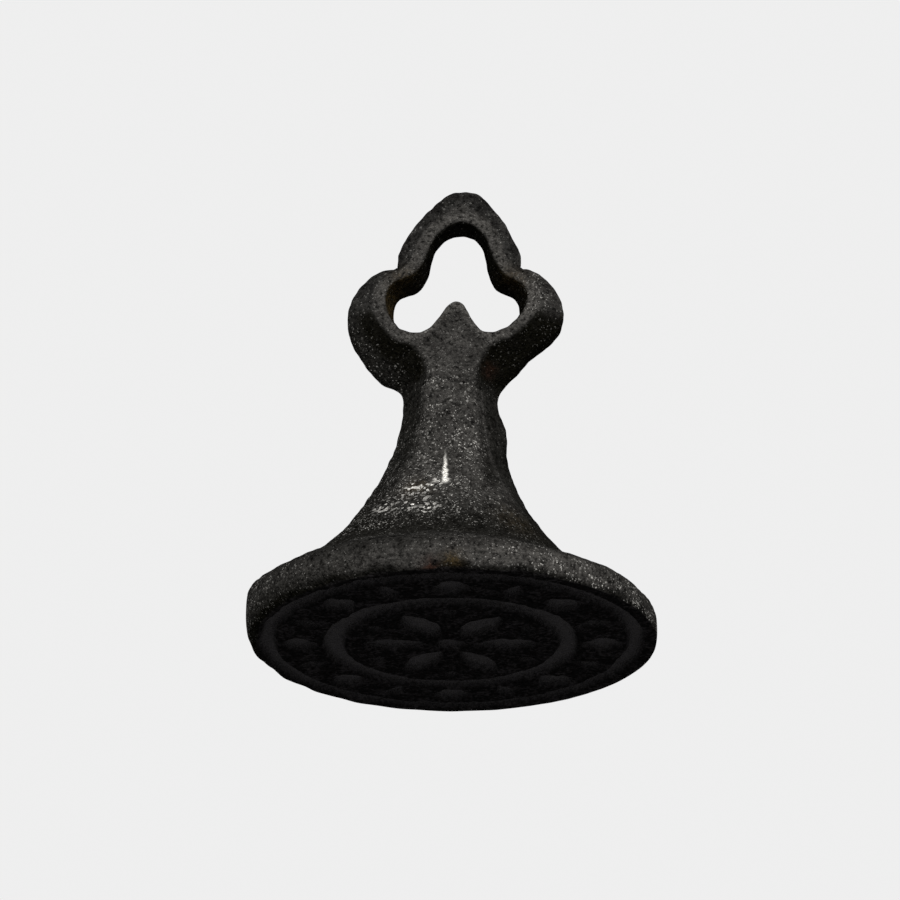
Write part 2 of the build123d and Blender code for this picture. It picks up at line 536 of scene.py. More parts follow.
@dataclass(frozen=True)
class DiePlate:
    """Cushion-edged disc. It leans with the handle and is ground flat and engraved below."""

    casting: Casting
    engraving: Engraving = Engraving()
    radius: float = 11.0
    limit: float = 10.94
    limit_softness: float = 0.15
    thickness: float = 2.35
    rim_height: float = 1.1
    rim_edge: float = 0.75
    steepest_edge: float = 0.995
    edge_wear: float = 0.16
    edge_ground: float = 0.6
    chip: float = 0.16
    edge_swells: tuple[Unevenness, ...] = (Unevenness(2.6, 0.7, 31), Unevenness(1.1, 0.4, 32))
    face_sway: tuple[Unevenness, ...] = (Unevenness(2.4, 0.06, 5), Unevenness(0.7, 0.035, 6))
    ground_grain: Unevenness = Unevenness(0.8, 0.03, 12)
    seat_radius: float = 8.7
    back_steps: tuple[float, ...] = (0.9, 0.6, 0.3, 0.0)
    rubbed: Patch = Patch((3.6, -10.3, 1.2), 2.2)
    rust: Patch = Patch((-1.05, -10.7, 0.2), 0.3, 0.7)
    ochre: Patch = Patch((0.05, -10.8, 0.45), 0.33, 0.9)
    columns: int = 600
    face_rows: int = 108
    edge_rows: int = 16
    shoulder_rows: int = 22

    @property
    def drop(self) -> float:
        """How far the lean lowers the rim on the right."""
        return self.radius * sin(radians(self.casting.lean))

    def top(self, radius: Array) -> Array:
        """Height of the back: flat inside the seat, then a quarter ellipse down to the widest part."""
        share = np.clip((radius - self.seat_radius) / (self.radius - self.seat_radius), 0.0, 1.0)
        return self.rim_height + (self.thickness - self.rim_height) * np.sqrt(1.0 - share * share)

    def edge_turns(self, angle: Array) -> Array:
        """Angles along the lower quarter ellipse, from where the ground face cuts it up to the widest part.

        The leaning ellipse meets the face where its height equals the lean's rise on that side.

        Args:
            angle: angles round the die in radians.

        Returns:
            Angles in radians, with one row for each step.
        """
        depth = self.rim_height - self.drop * np.cos(angle)
        start = np.arcsin(np.clip(depth / (self.rim_height + self.drop), 0.0, self.steepest_edge))
        share = np.linspace(0.0, 1.0, self.edge_rows)[:, None]
        return start * (1.0 - share)

    def chips(self, angle: Array) -> Array:
        """Uneven wear round the edge: the swells along a circle, which stay between about -1 and 1."""
        circle = polar(self.radius, angle, 0.0)
        return sum(swell.shift(circle) for swell in self.edge_swells)[..., 0]

    def profile(self, angle: Array) -> tuple[Array, Array]:
        """Radius and height of the rim and the back, before they lean.

        The chips lift the edge of the face on the front side.

        Args:
            angle: angles round the die in radians.

        Returns:
            Radii and heights, with one row for each step from the face's edge to the middle of the back.
        """
        turn = self.edge_turns(angle)
        chips = self.chips(angle)
        worn_edge = self.rim_edge * (1.0 + self.edge_wear * chips)
        radius = self.radius - worn_edge * (1.0 - np.cos(turn))
        front = rise(0.1, -0.6, np.sin(angle))
        lift = self.chip * front * np.maximum(chips, 0.0) * (turn / turn[:1]) ** 2
        height = self.rim_height - (self.rim_height + self.drop) * np.sin(turn) + lift
        level = np.zeros_like(angle)
        climb = np.radians(np.linspace(0.0, 90.0, self.shoulder_rows))[1:, None] + level
        over = self.seat_radius + (self.radius - self.seat_radius) * np.cos(climb)
        back = np.array(self.back_steps)[:, None] * self.seat_radius + level
        radii = np.concatenate([radius, over, back])
        heights = np.concatenate([height, self.top(over), self.top(back)])
        return radii, heights

    def skin(self, angle: Array) -> Array:
        """Rim and back from the face's edge to the middle, inside the limit and above the face.

        Args:
            angle: angles round the die in radians.

        Returns:
            Points of shape (rows, columns, 3).
        """
        radii, heights = self.profile(angle)
        skin = self.casting.uneven(self.casting.leaned(polar(radii, angle, heights)))
        reach = np.hypot(skin[..., 0], skin[..., 1])
        kept = soft_min(reach, self.limit, self.limit_softness) / np.maximum(reach, LEAST_REACH)
        skin = skin * np.stack([kept, kept, np.ones_like(kept)], axis=-1)
        skin[..., 2] = np.maximum(skin[..., 2], 0.0)
        return skin

    def face(self, edge: Array) -> tuple[Array, Array]:
        """Engraved face from its middle to just inside its edge, with swaying marks and a grainy ground.

        Args:
            edge: ring of points where the face meets the rim, of shape (1, columns, 3).

        Returns:
            Points, and the share of the engraving's full depth at each.
        """
        face = edge * np.linspace(0.0, 1.0, self.face_rows, endpoint=False)[:, None, None]
        face[..., 2] = 0.0
        sway = sum(swell.shift(face) for swell in self.face_sway)
        cut = self.engraving.cut(face[..., 0] + sway[..., 0], face[..., 1] + sway[..., 1])
        grain = np.abs(self.ground_grain.shift(face)[..., 2])
        face[..., 2] = self.engraving.depth * cut + grain * (1.0 - cut)
        return face, cut

    def dressing(self, points: Array, angle: Array, cut: Array) -> Traits:
        """Traits of the die: a ground face with residue in its marks, and a rim that is rubbed and darker
        in places, with painted shade on its downward-turned lower part.

        Args:
            points: finished positions, with the face first.
            angle: angles round the die in radians.
            cut: share of the engraving's depth on the face.

        Returns:
            The traits on the same grid.
        """
        flat = np.zeros((len(points) - self.face_rows, self.columns))
        on_face = np.concatenate([np.ones_like(cut), flat])
        on_face[self.face_rows] = self.edge_ground
        rim = 1.0 - on_face
        x, z = points[..., 0], points[..., 2]
        lower = rise(1.6, 0.2, z)
        inner = rise(1.0, 1.7, z)
        leftwards = rise(-2.0, -10.5, x)
        rightwards = rise(2.0, 9.0, x)
        left_end = rise(-4.0, -9.0, x)
        right_end = rise(6.0, 10.5, x)
        ragged = z - self.chip * self.chips(angle)
        chipped = rise(0.4, 0.1, ragged)
        unchipped = rise(0.1, 0.45, ragged)
        rubbed = self.rubbed.on(points)
        between_ends = 1.0 - 0.6 * right_end - 0.4 * left_end
        sparkle = lower * rightwards
        # Painted shade on the downward-turned lower rim, most on the left; the upper rim and back are
        # darker too.
        grime_and_shade = 0.7 * lower * leftwards + 0.5 * chipped + 0.2 * inner
        wear = (0.5 + 0.5 * rubbed) * unchipped * (1.0 - 0.7 * inner) * between_ends
        glint = 0.2 + 0.2 * left_end + 0.55 * sparkle + 0.35 * rubbed
        return {
            Trait.GROUND: on_face,
            Trait.RESIDUE: np.concatenate([cut, flat]),
            Trait.GRIME_AND_SHADE: rim * np.clip(grime_and_shade, 0.0, 1.0),
            Trait.WEAR: rim * wear,
            Trait.GLINT: rim * np.clip(glint, 0.0, 1.0),
            Trait.RUST: self.rust.on(points),
            Trait.OCHRE: self.ochre.on(points),
        }

    def piece(self) -> Piece:
        """The whole disc: the engraved face from its middle outwards, the rim and the back.

        Returns:
            The disc.
        """
        angle = full_turn(self.columns)
        skin = self.skin(angle)
        face, cut = self.face(skin[:1])
        points = np.concatenate([face, skin])
        return Piece(Node.DIE, points, self.dressing(points, angle, cut), "bronze")


@dataclass(frozen=True)
class Seam:
    """Upright ridge or groove on the stem, in degrees round it, radians across and millimetres of swell."""

    turn: float
    width: float
    swell: float

    def across(self, angle: Array) -> Array:
        """Bell of height 1 about the seam's own direction."""
        return np.exp(-0.5 * ((angle - radians(360.0 + self.turn)) / self.width) ** 2)


@dataclass(frozen=True)
class Streak:
    """Narrow upright streak of bare metal on the stem's front: a painted highlight."""

    place: float = -0.33
    heights: tuple[float, ...] = (7.5, 8.4, 10.2)
    widths: tuple[float, ...] = (0.15, 0.11, 0.03)
    foot: Span = (7.4, 7.7)
    top: Span = (10.3, 8.6)
    wobble: Unevenness = Unevenness(0.4, 0.04, 41)
    toe: Patch = Patch((-0.7, -3.9, 7.6), 0.15, 0.8)

    def on(self, points: Array) -> Array:
        """Share of bare metal: a flat-topped bell across with soft ends, and a round toe beside its foot.

        Args:
            points: finished positions of the stem.

        Returns:
            Shares on the same grid.
        """
        x, y, z = points[..., 0], points[..., 1], points[..., 2]
        spread = np.interp(z, self.heights, self.widths)
        wobble = self.wobble.shift(points)[..., 0]
        across = np.exp(-0.5 * ((x - self.place + wobble) / spread) ** 4)
        along = rise(*self.foot, z) * rise(*self.top, z)
        return np.clip(across * along * rise(0.0, -1.0, y) + self.toe.on(points), 0.0, 1.0)


@dataclass(frozen=True)
class Stem:
    """Hexagonal shank with hollow sides that flares to a round foot."""

    casting: Casting
    foot_radius: float = 8.7
    foot_height: float = 2.35
    waist_height: float = 14.2
    waist_flats: float = 4.65
    facet_turns: tuple[float, ...] = (-90.0, -30.0, 30.0)
    facet_skew: float = 0.07
    facet_runout: float = 0.18
    sharpness: float = 40.0
    corner_wear: float = 0.05
    corner_softness: float = 0.12
    seams: tuple[Seam, ...] = (
        Seam(-37.0, 0.05, 0.17),
        Seam(-46.0, 0.035, 0.06),
        Seam(-56.0, 0.05, -0.07),
    )
    seam_foot: Span = (6.0, 9.0)
    seam_top: float = 13.0
    ridge_turn: float = -45.0
    ridge_width: float = 2.5
    most_grime_and_shade: float = 0.62
    streak: Streak = Streak()
    flecks: tuple[Patch, ...] = (
        Patch((-1.3, -4.7, 7.1), 0.4),
        Patch((-0.7, -4.3, 7.6), 0.25),
        Patch((-1.9, -5.4, 5.8), 0.5),
        Patch((-1.2, -5.6, 5.5), 0.35),
        Patch((-2.4, -4.3, 7.1), 0.45),
        Patch((-3.6, -4.6, 5.9), 0.55),
    )
    ochre: tuple[Patch, ...] = (Patch((3.4, -5.0, 5.2), 0.8, 0.25), Patch((-1.9, -4.5, 7.2), 0.5, 0.5))
    columns: int = 480
    rows: int = 150

    @property
    def waist_corner(self) -> float:
        """Radius of the hexagon's worn corners at the waist."""
        return self.waist_flats / 2.0 / cos(radians(30.0)) - self.corner_wear

    def flare(self, at_waist: float, at_foot: float, height: Array) -> Array:
        """Parabola that is upright at the waist: the spread grows with the square of the way down."""
        share = np.clip((self.waist_height - height) / (self.waist_height - self.foot_height), 0.0, 1.0)
        return at_waist + (at_foot - at_waist) * share * share

    def radius(self, angle: Array, height: Array) -> Array:
        """Radius of the shank: a hexagon with worn corners, inside a round flare.

        The hexagon is the facets' distance over a soft greatest cosine of the three facet pairs: the sum of
        the cosines, each raised to a high power, brought back by that power's root.

        Args:
            angle: angles in radians, with a facet at -90 degrees.
            height: heights above the face.

        Returns:
            Radii in millimetres.
        """
        facet = self.flare(self.waist_flats / 2.0, self.foot_radius + self.facet_runout, height)
        corner = self.flare(self.waist_corner, self.foot_radius, height)
        total = sum(np.abs(np.cos(angle - radians(turn))) ** self.sharpness for turn in self.facet_turns)
        hexagon = facet * total ** (-1.0 / self.sharpness)
        return soft_min(hexagon, corner, self.corner_softness)

    def flare_height(self, radius: Array) -> Array:
        """Height at which the round flare has a given radius.

        Args:
            radius: radii in millimetres.

        Returns:
            Heights above the face.
        """
        spread = np.maximum(radius - self.waist_corner, 0.0)
        share = np.sqrt(spread / (self.foot_radius - self.waist_corner))
        return self.waist_height - (self.waist_height - self.foot_height) * share

    def dressing(self, points: Array) -> Traits:
        """Traits of the stem's skin: worn facets and a worn ridge, painted shade on the side facets, dirt
        and painted shade at the foot, flecks, a painted highlight, stains.

        Args:
            points: finished positions.

        Returns:
            The traits on the same grid.
        """
        x, y, z = points[..., 0], points[..., 1], points[..., 2]
        front = rise(0.5, -0.5, y)
        left = rise(-2.2, -4.2, x)
        right = rise(0.8, 3.0, x) * front
        foot = rise(7.6, 3.4, z)
        above_foot = rise(4.5, 8.0, z)
        above_die = rise(1.5, 4.5, z)
        below_loop = rise(12.2, 13.8, z)
        outwards = np.abs(y - self.facet_skew * x) / np.maximum(np.hypot(x, y), LEAST_REACH)
        shaded_flank = rise(1.3, 2.0, x) * rise(6.5, 8.5, z) * front
        facet = rise(0.6, 0.9, outwards) * (1.0 - shaded_flank)
        axis = self.casting.stem_offset + z * sin(radians(self.casting.lean))
        turn = np.degrees(np.arctan2(y, x - axis))
        ridge = np.exp(-0.5 * ((turn - self.ridge_turn) / self.ridge_width) ** 2) * rise(6.0, 8.5, z)
        flecks = sum(fleck.on(points) for fleck in self.flecks)
        # Painted shade on the side facets and the right front flank; dirt and painted shade at the foot's
        # crease.
        grime_and_shade = self.most_grime_and_shade * foot + 0.45 * (1.0 - facet) * (1.0 - 0.8 * ridge)
        glint = (0.3 + 0.32 * facet + 0.35 * left) * (1.0 - 0.4 * right)
        return {
            Trait.GRIME_AND_SHADE: np.clip(grime_and_shade, 0.0, self.most_grime_and_shade),
            Trait.WEAR: 0.48 * facet * above_foot + 0.3 * ridge,
            Trait.GLINT: glint * above_die * (1.0 - 0.35 * below_loop),
            Trait.FLECK: np.clip(flecks, 0.0, 1.0),
            Trait.PAINTED_HIGHLIGHT: self.streak.on(points),
            Trait.OCHRE: sum(stain.on(points) for stain in self.ochre),
        }

    def piece(self) -> Piece:
        """The shank from its foot to its waist, closed at both ends.

        Returns:
            The shank.
        """
        angle = full_turn(self.columns)
        height = np.linspace(self.foot_height, self.waist_height, self.rows)[:, None]
        radius = self.radius(angle, height)
        upper = rise(*self.seam_foot, height) * rise(self.waist_height, self.seam_top, height)
        for seam in self.seams:
            radius = radius + seam.swell * upper * seam.across(angle)
        ring = polar(radius, angle, height)
        onto_axis = np.array([0.0, 0.0, 1.0])
        shank = np.concatenate([ring[:1] * onto_axis, ring, ring[-1:] * onto_axis])
        points = self.casting.uneven(self.casting.on_die(shank))
        return Piece(Node.STEM, points, self.dressing(points), "bronze")


@dataclass(frozen=True)
class TrefoilLoop:
    """Pierced trefoil: a plate with bevelled outer edges round an eye of two round lobes and an arch.

    Heights are above the waist. The runs of the eye's right half go from the top of the spike to the bottom
    of the lobe, to its widest point, to the cusp, to the spring of the arch and to its top.
    """

    casting: Casting
    stem: Stem
    seat: float = 0.12
    seat_height: float = 2.5
    root_height: float = 1.6
    slant: float = 3.0
    height: float = 13.65
    neck_radius: float = 1.4
    lobe_radius: float = 2.95
    lobe_offset: float = 3.15
    lobe_height: float = 5.4
    top_half_width: float = 3.45
    shoulder_height: float = 9.3
    flank: Spot = (2.8, 10.95)
    tip: Spot = (1.2, 13.1)
    outer_wear: float = 2.5
    wear_start: Span = (0.3, 1.2)
    spike_top: Spot = (0.0, 6.13)
    eye_runs: tuple[tuple[Spot, ...], ...] = (
        ((0.3, 5.97), (0.57, 5.55), (0.95, 4.75), (1.4, 4.05), (1.8, 3.84), (2.3, 3.84)),
        ((3.05, 4.06), (3.5, 4.68), (3.8, 5.3), (3.95, 6.0)),
        ((3.88, 6.7), (3.6, 7.15), (3.1, 7.4), (2.6, 7.6), (2.28, 7.9)),
        ((1.95, 8.55), (1.67, 9.4)),
        ((1.42, 10.15), (0.95, 10.75), (0.5, 11.05), (0.0, 11.13)),
    )
    eye_wear: float = 5.0
    eye_edge: float = 0.3
    draft: float = 0.35
    draft_reach: float = 1.2
    arch_start: Span = (8.0, 10.0)
    arch_relief: float = 0.6
    middle_thickness: float = 2.1
    middle_height: float = 6.9
    top_thickness: float = 1.5
    bevel_stations: tuple[float, ...] = (0.0, 0.8, 2.4, 4.2, 5.6, 8.3, 11.0, 13.6)
    bevel_widths: tuple[float, ...] = (1.31, 1.4, 1.9, 2.0, 1.5, 1.1, 1.3, 1.3)
    bevel_blunts: tuple[float, ...] = (0.03, 0.1, 0.32, 0.42, 0.46, 0.5, 0.5, 0.5)
    bevel_powers: tuple[float, ...] = (1.0, 1.1, 1.6, 1.15, 0.9, 0.85, 0.85, 0.85)
    bevel_softness: float = 0.2
    least_bevel: float = 0.4
    band: float = 0.75
    ridge_softness: float = 0.09
    outer_edge: float = 0.32
    outer_edge_share: float = 0.8
    outline_foot: float = -6.0
    outline_step: int = 4
    section_points: int = 2000
    rust: Patch = Patch((2.2, -1.3, 15.7), 0.3, 0.5)
    ochre: tuple[Patch, ...] = (Patch((3.3, -1.0, 21.5), 0.6, 0.6), Patch((-2.6, -1.0, 21.5), 0.6, 0.5))
    wall_ochre: Patch = Patch((-3.6, 0.0, 20.2), 1.0, 0.8)
    counts: tuple[int, ...] = (60, 72, 48, 26, 60)
    bend_rows: int = 8
    sheet_rows: int = 34
    eye_wall_rows: int = 5
    edge_wall_rows: int = 4

    @property
    def corner(self) -> float:
        """Half width of the worn hexagon at the waist."""
        return float(self.stem.radius(np.zeros(1), np.full(1, self.stem.waist_height))[0])

    def outer_half(self) -> list[Array]:
        """Right half of the outer outline, as one run for each part between two matched points.

        The runs are the flat seat, the hollow neck with the straight underside of the arm and the lobe up
        to its widest point, the rest of the lobe up to the notch, the upright shoulder, and the flank with
        the tip.

        Returns:
            Polylines of shape (n, 2).
        """
        waist = self.corner
        neck = (waist + self.neck_radius, 0.0)
        lobe = (self.lobe_offset, self.lobe_height)
        across, along = lobe[0] - neck[0], lobe[1] - neck[1]
        lean = np.arccos((self.neck_radius + self.lobe_radius) / np.hypot(across, along))
        heading = float(np.degrees(np.arctan2(along, across) + lean))
        notch = float(np.degrees(np.arccos((self.top_half_width - lobe[0]) / self.lobe_radius)))
        hollow = arc(neck, self.neck_radius, 180.0, heading)
        lower = arc(lobe, self.lobe_radius, heading - 180.0, 0.0)
        upper = arc(lobe, self.lobe_radius, 0.0, notch)
        shoulder = (self.top_half_width, self.shoulder_height)
        flank = arc_through(shoulder, self.flank, self.tip)
        peak = (0.0, self.height)
        crown = arc_through(self.tip, peak, (-self.tip[0], self.tip[1]))
        return [
            np.array([(0.0, 0.0), (waist, 0.0)]),
            np.concatenate([hollow, lower]),
            upper,
            np.array([tuple(upper[-1]), shoulder]),
            np.concatenate([flank, crown[:ARC_POINTS // 2], np.array([peak])]),
        ]

    def eye_half(self) -> list[Array]:
        """Right half of the eye's outline, in runs that match those of the outer outline.

        Each is a chain of straight steps, which the wear rounds.

        Returns:
            Polylines of shape (n, 2).
        """
        starts = (self.spike_top,) + tuple(run[-1] for run in self.eye_runs)
        return [np.array((start,) + run) for start, run in zip(starts, self.eye_runs)]

    def closed(self, runs: list[Array]) -> Array:
        """Joins the right half's runs with their mirror image into one closed curve.

        Args:
            runs: polylines from the bottom to the top of the right half.

        Returns:
            Points of shape (2 * sum(counts), 2).
        """
        steps = [spaced(run, count) for run, count in zip(runs, self.counts)]
        right = np.concatenate(steps + [runs[-1][-1:]])
        left = right[-2:0:-1] * np.array([-1.0, 1.0])
        return np.concatenate([right, left])

    def half_thickness(self, z: Array) -> Array:
        """Half thickness before bevels: a circular arc from the stem's thickness in to the thin top.

        Args:
            z: heights above the waist.

        Returns:
            Half thicknesses in millimetres.
        """
        bend = arc_through(
            (self.stem.waist_flats / 2.0, 0.0),
            (self.middle_thickness / 2.0, self.middle_height),
            (self.top_thickness / 2.0, self.height),
        )
        return np.interp(z, bend[:, 1], bend[:, 0])

    def waist_section(self, x: Array) -> Array:
        """Half thickness of the stem's worn hexagon at its top.

        Args:
            x: positions across.

        Returns:
            Half thicknesses in millimetres.
        """
        angle = np.linspace(-np.pi, 0.0, self.section_points)
        radius = self.stem.radius(angle, np.full_like(angle, self.stem.waist_height))
        return np.interp(x, radius * np.cos(angle), -radius * np.sin(angle))

    def to_outline(self, x: Array, z: Array) -> Array:
        """Distance to the free outer outline, which goes straight down below the waist.

        Args:
            x: positions across.
            z: heights above the waist.

        Returns:
            Distances in millimetres.
        """
        runs = [run[::self.outline_step] for run in self.outer_half()[1:]]
        free = np.concatenate([[(self.corner, self.outline_foot)]] + runs)
        return distance_to(free, np.abs(x), z)

    def front(self, x: Array, z: Array, to_eye: Array, to_edge: Array) -> tuple[Array, Array]:
        """Distance of the front surface from the middle plane, and the share of the bevel's width.

        From the outer edge inwards it climbs by a power of the share of the bevel's width, up to the full
        thickness. The bevel is the stem's flat facet at the waist, a wide hollow under the arms, and a
        narrow swelling edge round the lobes and the top.

        Args:
            x: positions across.
            z: heights above the waist.
            to_eye: distances to the eye's edge.
            to_edge: distances to the free outer outline.

        Returns:
            Distances in millimetres, and shares that are 0 at the outer edge and 1 at the bevel's ridge.
        """
        width = np.interp(z, self.bevel_stations, self.bevel_widths)
        width = soft_min(width, to_eye + to_edge - self.band, self.bevel_softness)
        width = np.maximum(width, self.least_bevel)
        blunt = np.interp(z, self.bevel_stations, self.bevel_blunts)
        power = np.interp(z, self.bevel_stations, self.bevel_powers)
        full = self.half_thickness(z)
        share = to_edge / width
        climb = blunt + (1.0 - blunt) * share ** power
        bevelled = full * soft_min(climb, 1.0, self.ridge_softness)
        rounding = np.minimum(self.outer_edge, self.outer_edge_share * blunt * full)
        bevelled = rounded(bevelled, rounding, to_edge)
        above = rise(0.0, self.root_height, z)
        return self.waist_section(x) * (1.0 - above) + bevelled * above, share

    def steps(self, width: Array) -> Array:
        """Places of the front's rows between the eye and the outer outline, closest at both rounded edges.

        Args:
            width: distances between the two outlines, one for each column.

        Returns:
            Shares of the way from the eye, of shape (rows, columns).
        """
        turn = np.linspace(0.0, np.pi / 2.0, self.bend_rows)
        inner = self.eye_edge * (1.0 - np.cos(turn))[:, None] + np.zeros_like(width)
        outer = width - self.outer_edge * (1.0 - np.cos(turn[::-1]))[:, None]
        middle = np.linspace(0.0, 1.0, self.sheet_rows + 2)[1:-1, None]
        middle = self.eye_edge + (width - self.eye_edge - self.outer_edge) * middle
        return np.concatenate([inner, middle, outer]) / width

    def placed(self, points: Array) -> Array:
        """Slants the upright loop, seats its root on the leaning stem and adds the casting's unevenness.

        Args:
            points: positions of the upright loop over the middle of the waist.

        Returns:
            Finished positions.
        """
        x, z = points[..., 0], points[..., 2]
        root = 1.0 - rise(0.0, self.seat_height, z)
        seated = z + root * (self.seat - x * tan(radians(self.casting.lean)))
        upright = np.stack([x + z * tan(radians(self.slant)), points[..., 1], seated], axis=-1)
        waist = self.casting.on_die(np.array([0.0, 0.0, self.stem.waist_height]))
        return self.casting.uneven(upright + waist)

    def dressing(self, points: Array, x: Array, z: Array, to_eye: Array, bevel: Array) -> Traits:
        """Traits of the loop's skin: painted shade under the arms, darker walls in the eye, wear round the
        eye's edge.

        Args:
            points: finished positions.
            x: positions across, before the slant.
            z: heights above the waist.
            to_eye: distances from the eye's edge.
            bevel: shares of the bevel's width.

        Returns:
            The traits on the same grid.
        """
        arm = rise(0.2, 1.4, z) * rise(5.8, 4.6, z) * rise(1.0, 1.9, np.abs(x))
        left = rise(-1.5, -2.5, x)
        rim = rise(0.6, 0.2, bevel)
        outer_bevel = rise(0.7, 0.3, bevel)
        facet = rise(0.8, 1.02, bevel)
        # Undersides of the arms, which face down: painted shade.
        under = arm * rise(1.05, 0.85, bevel) * (1.0 - 0.45 * left * rim)
        wall = rise(0.16, 0.02, to_eye)
        by_eye = rise(1.0, 0.2, to_eye)
        root = rise(1.8, 0.2, z)
        top = rise(7.0, 9.0, z)
        lobe = rise(3.0, 4.5, x) * rise(3.0, 5.0, z)
        worn_edge = (0.45 - 0.1 * root + 0.15 * top) * facet + 0.45 * by_eye
        glint = 0.25 + 0.37 * root * facet + 0.2 * lobe + 0.2 * left * arm * outer_bevel
        ochre = sum(stain.on(points) for stain in self.ochre)
        return {
            # Painted shade under the arms and on the root's sides, as on the stem's; the eye's walls are
            # darker too.
            Trait.GRIME_AND_SHADE: np.clip(under + 0.95 * wall + 0.45 * root * (1.0 - facet), 0.0, 1.0),
            Trait.WEAR: (worn_edge + 0.3 * lobe) * (1.0 - wall) * (1.0 - under),
            Trait.GLINT: np.clip(glint, 0.0, 1.0),
            Trait.RUST: self.rust.on(points),
            Trait.OCHRE: ochre + wall * self.wall_ochre.on(points),
        }

    def piece(self) -> Piece:
        """The loop as a ring of sections: eye wall, front, outer edge and back, in step round the eye.

        The eye narrows a little towards the back, as the draft of its pattern leaves it. It does so less in
        the arch.

        Returns:
            The loop.
        """
        outer = self.closed(self.outer_half())
        above_root = rise(*self.wear_start, outer[:, 1])[:, None]
        outer = outer + (worn(outer, self.outer_wear) - outer) * above_root
        eye = worn(self.closed(self.eye_half()), self.eye_wear)
        line = outer - eye
        width = np.hypot(line[:, 0], line[:, 1])
        along = self.steps(width)
        x = eye[:, 0] + line[:, 0] * along
        z = eye[:, 1] + line[:, 1] * along
        to_eye = along * width
        surface, bevel = self.front(x, z, to_eye, self.to_outline(x, z))
        surface = rounded(surface, self.eye_edge, to_eye)
        ramp = np.concatenate([
            np.linspace(0.0, 1.0, self.eye_wall_rows + 1)[:-1],
            np.ones(len(surface)),
            np.linspace(1.0, 0.0, self.edge_wall_rows + 1)[1:],
        ])
        walls = ((self.eye_wall_rows, self.edge_wall_rows), (0, 0))
        grids = (surface, x, z, to_eye, bevel)
        depth, x, z, to_eye, bevel = (np.pad(grid, walls, "edge") for grid in grids)
        half = np.stack([x, -depth * ramp[:, None], z], axis=-1)
        ring = np.concatenate([half, half[-2::-1] * np.array([1.0, -1.0, 1.0])])
        x, z, to_eye, bevel = (np.concatenate([grid, grid[-2::-1]]) for grid in (x, z, to_eye, bevel))
        backwards = rise(-1.0, 1.0, ring[..., 1] / surface[0])
        narrowing = self.draft * backwards * rise(self.draft_reach, 0.0, to_eye)
        narrowing = narrowing * (1.0 - self.arch_relief * rise(*self.arch_start, z))
        ring[..., 0] -= narrowing * line[:, 0] / width
        ring[..., 2] -= narrowing * line[:, 1] / width
        points = self.placed(ring)
        return Piece(Node.LOOP, points, self.dressing(points, x, z, to_eye, bevel), "bronze")


@dataclass(frozen=True)
class FootBraze:
    """Fillet of filler metal in the crease where the stem's foot stands on the die."""

    casting: Casting
    stem: Stem
    die: DiePlate
    reach_in: float = 2.0
    reach_out: float = 1.7
    softness: float = 1.9
    tuck: float = 0.05
    tuck_share: float = 0.25
    depth: float = 0.3
    columns: int = 360
    rows: int = 30

    def piece(self) -> Piece:
        """Ring from a circle about the stem to one about the die, tucked in at both.

        Its upper side is the soft greater of the flare's height and the die's.

        Returns:
            The fillet.
        """
        angle = full_turn(self.columns)
        share = np.linspace(0.0, 1.0, self.rows)[:, None]
        radius = self.stem.foot_radius - self.reach_in + (self.reach_in + self.reach_out) * share
        x = radius * np.cos(angle) - self.casting.stem_offset * share
        y = radius * np.sin(angle)
        on_die = self.die.top(np.hypot(x + self.casting.stem_offset, y))
        height = soft_max(self.stem.flare_height(np.hypot(x, y)), on_die, self.softness)
        ends = rise(self.tuck_share, 0.0, share) + rise(1.0 - self.tuck_share, 1.0, share)
        upper = np.stack([x, y, height - self.tuck * ends], axis=-1)
        lower = upper[::-1] - np.array([0.0, 0.0, self.depth])
        ring = np.concatenate([upper, lower, upper[:1]])
        points = self.casting.uneven(self.casting.on_die(ring))
        traits = {
            # Dirt and painted shade, darker in towards the crease at the stem's foot.
            Trait.GRIME_AND_SHADE: 0.2 + 0.4 * rise(10.4, 8.6, np.hypot(points[..., 0], points[..., 1])),
            Trait.GLINT: np.full(points.shape[:2], 0.3),
        }
        return Piece(Node.FOOT_BRAZE, points, traits, "filler")


@dataclass(frozen=True)
class LoopBraze:
    """Thin seam of filler metal between the stem's top and the loop's root.

    Each point of its section is a share of the outline's radius and a share of the gap's height.
    """

    casting: Casting
    stem: Stem
    gap: float = 0.12
    section: tuple[Spot, ...] = ((0.7, 0.0), (1.0, 0.0), (1.003, 0.5), (1.0, 1.0), (0.7, 1.0), (0.7, 0.0))
    columns: int = 480

    def piece(self) -> Piece:
        """Flat ring with the outline of the stem's top, swelling a little between the two castings.

        Returns:
            The seam.
        """
        angle = full_turn(self.columns)
        radius = self.stem.radius(angle, np.full_like(angle, self.stem.waist_height))
        scale, level = np.array(self.section).T[..., None]
        ring = polar(scale * radius, angle, self.stem.waist_height + self.gap * level)
        points = self.casting.uneven(self.casting.on_die(ring))
        return Piece(Node.LOOP_BRAZE, points, self.stem.dressing(points), "filler")


# Sockets of a node that mixes two colours
MIX_SHARE = 0
MIX_UNDER = 6
MIX_OVER = 7
MIXED = 2


def blank_tree(owner: bpy.types.Material | bpy.types.World) -> bpy.types.NodeTree:
    """Turns on the nodes of a material or world and empties them.

    Args:
        owner: the material or world.

    Returns:
        Its node tree, with no nodes.
    """
    owner.use_nodes = True
    owner.node_tree.nodes.clear()
    return owner.node_tree


def add_node(
    tree: bpy.types.NodeTree,
    kind: str,
    inputs: dict[str | int, object] | None = None,
    **settings: object,
) -> bpy.types.NodeOutputs:
    """Adds a shader node with its settings, socket values and links.

    Args:
        tree: node tree that takes the node.
        kind: name of the node type, without the prefix that all shader nodes share.
        inputs: for each socket a value, or the output socket that feeds it.
        settings: properties of the node.

    Returns:
        The new node's outputs.
    """
    node = tree.nodes.new("ShaderNode" + kind)
    for name, value in settings.items():
        setattr(node, name, value)
    for name, value in (inputs or {}).items():
        if isinstance(value, bpy.types.NodeSocket):
            tree.links.new(value, node.inputs[name])
        else:
            node.inputs[name].default_value = value
    return node.outputs


